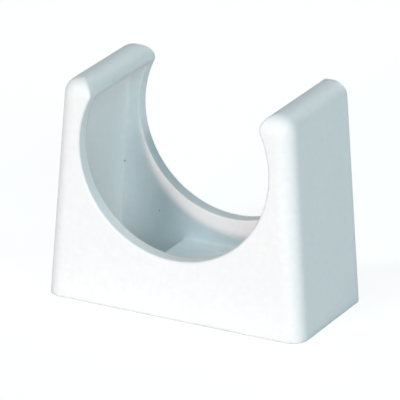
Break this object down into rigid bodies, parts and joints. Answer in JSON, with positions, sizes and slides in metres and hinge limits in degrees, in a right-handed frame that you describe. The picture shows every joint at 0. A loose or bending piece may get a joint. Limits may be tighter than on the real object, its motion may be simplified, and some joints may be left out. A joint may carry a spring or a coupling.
{
  "type": "pipe clip",
  "caption": "White plastic snap-in pipe clip: a hollow tapered block with a round seat between two rounded arms, and a countersunk screw boss in its base.",
  "frame": {"origin": "middle of the flat base that is screwed to the wall", "axes": "+X across the clip, +Y along the pipe, +Z from the base towards the mouth"},
  "size_m": [0.0294, 0.0148, 0.0237],
  "materials": {
    "white_plastic": "white injection-moulded plastic with a soft sheen"
  },
  "bodies": {
    "root": {"clip_body": "white_plastic"}
  },
  "joints": []
}
